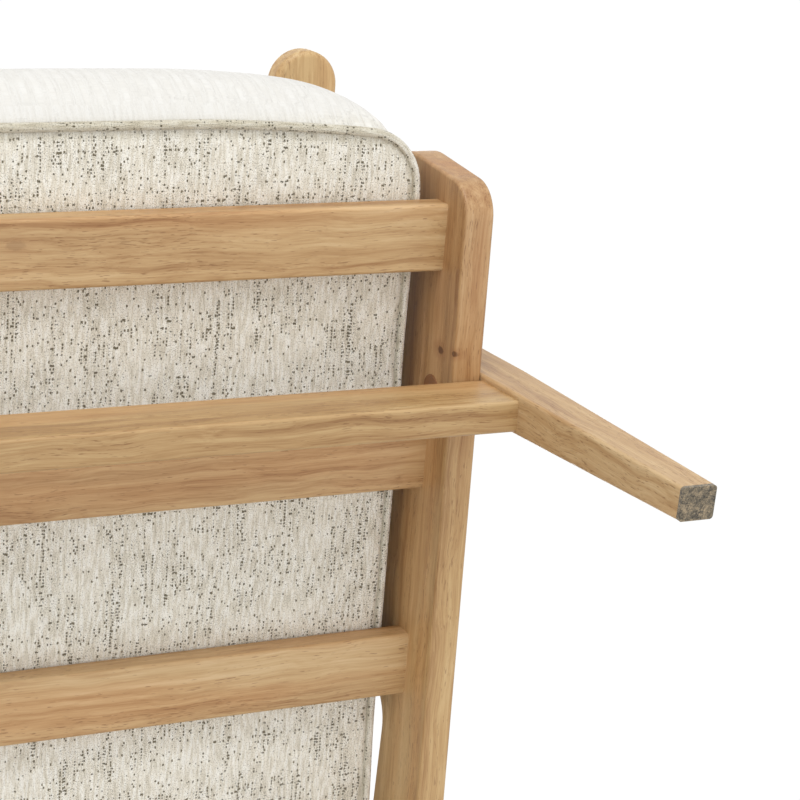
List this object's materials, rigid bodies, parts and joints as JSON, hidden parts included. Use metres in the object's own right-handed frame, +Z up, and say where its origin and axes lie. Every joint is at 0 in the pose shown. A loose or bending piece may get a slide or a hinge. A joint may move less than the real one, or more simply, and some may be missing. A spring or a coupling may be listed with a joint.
{
  "type": "reclining armchair",
  "caption": "Slatted light-wood armchair with round-tipped paddle arms, loose piped cushions and a ladder back that reclines on ratchet hinges at the ends of the seat rails.",
  "frame": {"origin": "on the floor under the middle of the chair, halfway along its width and its depth at rest", "axes": "+X to the sitter's left, +Y to the rear, +Z up; the chair faces -Y"},
  "size_m": [0.7, 0.8422, 0.8528],
  "materials": {
    "wood": "light hardwood, satin clear lacquer, grain along each piece",
    "dowel_wood": "plain fluted hardwood, glued",
    "cushion_fabric": "off-white chenille tweed flecked with black and grey, self welt",
    "felt": "pressed recycled felt, mottled grey",
    "tape": "woven hook and loop tape",
    "cap": "mid brown, fine satin",
    "zinc_steel": "bright zinc plate",
    "hinge_steel": "black powder coat"
  },
  "bodies": {
    "frame": {"arm_dowels": "dowel_wood", "bolt_caps": "cap", "felt_pads": "felt", "front_stretcher": "wood", "hinge_base_screws": "zinc_steel", "hinge_pins": "zinc_steel", "left_armrest": "wood", "left_front_leg": "wood", "left_hinge_base": "hinge_steel", "left_rear_leg": "wood", "left_seat_rail": "wood", "leg_bolts": "zinc_steel", "leg_inserts": "zinc_steel", "rear_stretcher": "wood", "right_armrest": "wood", "right_front_leg": "wood", "right_hinge_base": "hinge_steel", "right_rear_leg": "wood", "right_seat_rail": "wood", "seat_cushion": "cushion_fabric", "seat_cushion_tapes": "tape", "seat_slat_1": "wood", "seat_slat_2": "wood", "seat_slat_3": "wood", "seat_slat_4": "wood", "stretcher_dowels": "dowel_wood"},
    "back": {"back_cushion": "cushion_fabric", "back_cushion_tapes": "tape", "back_slat_1": "wood", "back_slat_2": "wood", "back_slat_3": "wood", "back_slat_4": "wood", "crest_rail": "wood", "hinge_strap_screws": "zinc_steel", "left_back_stile": "wood", "left_hinge_strap": "hinge_steel", "right_back_stile": "wood", "right_hinge_strap": "hinge_steel"}
  },
  "joints": [
    {"name": "back_recline", "type": "hinge", "parent": "frame", "child": "back", "pos_m": [0, 0.23342, 0.2888], "axis": [-1, 0, 0], "range_deg": [0, 24]}
  ]
}
